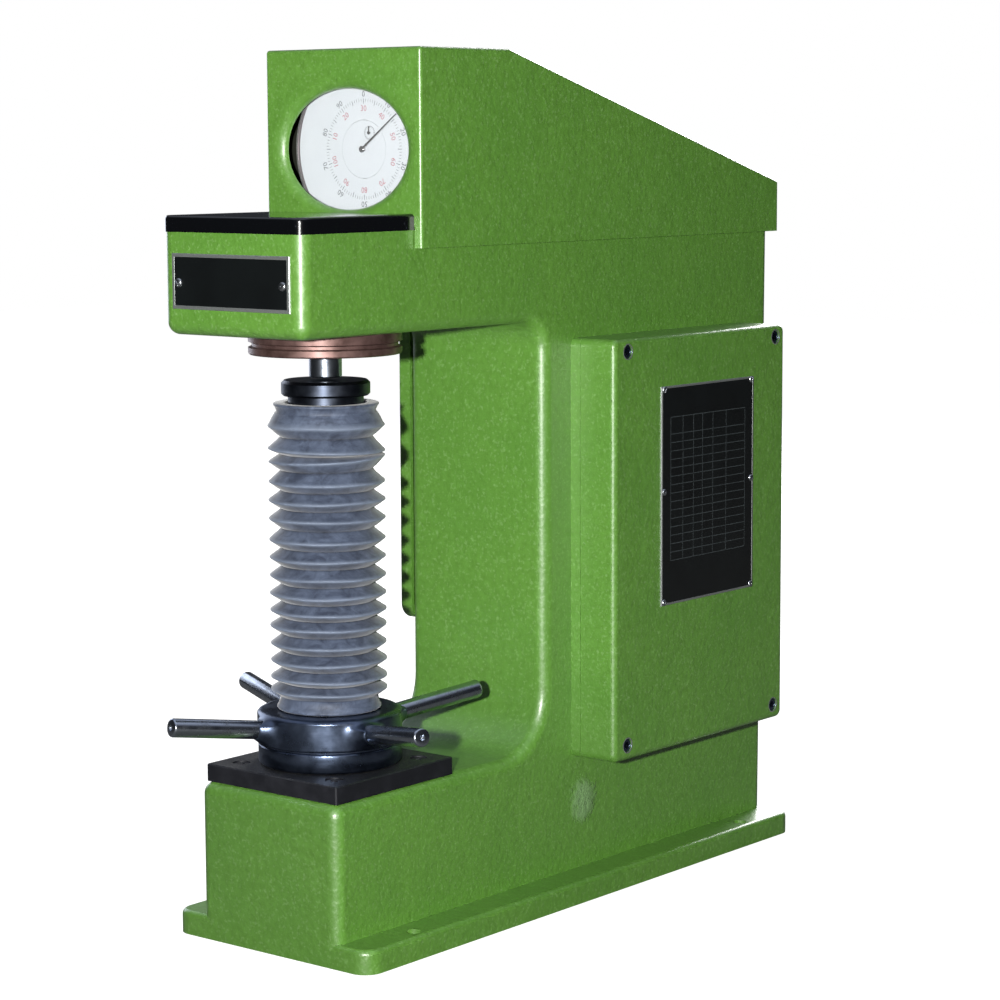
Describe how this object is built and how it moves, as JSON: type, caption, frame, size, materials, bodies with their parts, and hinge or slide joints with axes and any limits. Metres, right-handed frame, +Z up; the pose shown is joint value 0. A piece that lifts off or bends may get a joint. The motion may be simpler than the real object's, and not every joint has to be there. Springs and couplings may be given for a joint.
{
  "type": "hardness tester",
  "caption": "Bench hardness tester: green C-frame casting, capstan screw under rubber bellows, anvil, spindle head, dial under a sheet hood, lever-and-weight loading.",
  "frame": {"origin": "centre of the four base bolt holes, on the underside of the base", "axes": "+X towards the side with the large cover, -Y towards the operator (the screw and dial end), +Z up"},
  "size_m": [0.2456, 0.5923, 0.635],
  "materials": {
    "green_enamel": "hammered green enamel, half gloss",
    "black_enamel": "black enamel, satin",
    "black_oxide": "black oxide steel, oiled",
    "bright_steel": "turned bright steel",
    "bronze": "machined bronze",
    "copper_lacquer": "lacquered copper brown, turned",
    "bellows_rubber": "grey moulded rubber, matte",
    "cast_lever": "machined cast iron",
    "cast_weights": "turned cast iron",
    "black_plastic": "black phenolic, gloss",
    "zinc_screws": "bright zinc plate",
    "etched_plate": "black filled aluminium with bright border",
    "crystal": "clear, polished",
    "dial_white": "white printed dial"
  },
  "bodies": {
    "frame": {"frame_casting": "green_enamel", "screw_plate": "black_oxide", "plate_screws": "black_oxide", "screw_bush": "bronze", "guide_key": "bright_steel", "lower_race": "bright_steel", "bearing_rollers": "bright_steel", "clamp_ring": "copper_lacquer", "spindle_housing": "bright_steel", "spindle_bushes": "bronze", "return_spring": "bright_steel", "fulcrum_block": "bright_steel", "head_cover": "black_enamel", "hood": "green_enamel", "hood_rails": "green_enamel", "hood_screws": "zinc_screws", "side_cover": "green_enamel", "cover_screws": "zinc_screws", "spec_plate": "etched_plate", "front_plate": "etched_plate", "plate_rivets": "zinc_screws", "far_cover": "green_enamel", "far_cover_screws": "zinc_screws", "dial_bracket": "bright_steel", "dial_case": "black_enamel", "dial_centre": "dial_white", "dashpot": "black_oxide", "shaft_bush": "bronze"},
    "capstan": {"capstan_hub": "black_oxide", "capstan_nut": "bronze", "spokes": "bright_steel", "upper_race": "bright_steel"},
    "screw": {"elevating_screw": "bright_steel", "anvil": "black_oxide", "bellows": "bellows_rubber"},
    "spindle": {"spindle": "bright_steel", "indenter": "bright_steel"},
    "lever": {"main_lever": "cast_lever", "knife_edges": "bright_steel"},
    "hanger": {"weight_hanger": "bright_steel", "weight_low": "cast_weights", "weight_middle": "cast_weights", "weight_top": "cast_weights"},
    "lift": {"lift_rod": "bright_steel"},
    "load_lever": {"load_shaft": "bright_steel", "lift_cam": "bright_steel", "hand_lever": "bright_steel", "lever_knob": "black_plastic"},
    "bezel": {"dial_bezel": "black_enamel", "dial_crystal": "crystal", "dial_face": "dial_white"},
    "pointer": {"dial_pointer": "black_enamel"},
    "small_pointer": {"small_pointer": "black_enamel"},
    "plunger": {"dial_plunger": "bright_steel"}
  },
  "joints": [
    {"name": "capstan_turn", "type": "hinge", "parent": "frame", "child": "capstan", "pos_m": [0, -0.198, 0.15], "axis": [0, 0, 1], "range_deg": [0, 9000]},
    {"name": "screw_lift", "type": "slide", "parent": "frame", "child": "screw", "axis": [0, 0, -1], "range_m": [0, 0.15], "deforming": ["bellows"]},
    {"name": "load_lever_swing", "type": "hinge", "parent": "frame", "child": "load_lever", "pos_m": [0, 0.17, 0.33], "axis": [1, 0, 0], "range_deg": [0, 75]},
    {"name": "main_lever_tilt", "type": "hinge", "parent": "frame", "child": "lever", "pos_m": [0, -0.214, 0.488], "axis": [-1, 0, 0], "range_deg": [0, 2.15]},
    {"name": "spindle_feed", "type": "slide", "parent": "frame", "child": "spindle", "axis": [0, 0, -1], "range_m": [0, 0.000601]},
    {"name": "hanger_drop", "type": "slide", "parent": "frame", "child": "hanger", "axis": [0, 0, -1], "range_m": [0, 0.012]},
    {"name": "lift_drop", "type": "slide", "parent": "frame", "child": "lift", "axis": [0, 0, -1], "range_m": [0, 0.0144]},
    {"name": "dial_plunger_drop", "type": "slide", "parent": "frame", "child": "plunger", "axis": [0, 0, -1], "range_m": [0, 0.00255]},
    {"name": "pointer_turn", "type": "hinge", "parent": "frame", "child": "pointer", "pos_m": [0.0065, -0.165, 0.5645], "axis": [0, 1, 0], "range_deg": [0, 1080.01]},
    {"name": "small_pointer_turn", "type": "hinge", "parent": "frame", "child": "small_pointer", "pos_m": [0.012, -0.1634, 0.576], "axis": [0, 1, 0], "range_deg": [0, 108]},
    {"name": "bezel_turn", "type": "hinge", "parent": "frame", "child": "bezel", "pos_m": [0.0065, -0.165, 0.5645], "axis": [0, 1, 0], "continuous": true}
  ],
  "couplings": [
    {"joint": "screw_lift", "follows": "capstan_turn", "m_per_rad": 0.00095493},
    {"joint": "main_lever_tilt", "follows": "load_lever_swing", "ratio": 0.028648},
    {"joint": "spindle_feed", "follows": "load_lever_swing", "m_per_rad": 0.00045837},
    {"joint": "hanger_drop", "follows": "load_lever_swing", "m_per_rad": 0.0091673},
    {"joint": "lift_drop", "follows": "load_lever_swing", "m_per_rad": 0.011001},
    {"joint": "dial_plunger_drop", "follows": "load_lever_swing", "m_per_rad": 0.0019481},
    {"joint": "pointer_turn", "follows": "load_lever_swing", "ratio": 14.4},
    {"joint": "small_pointer_turn", "follows": "load_lever_swing", "ratio": 1.44}
  ]
}
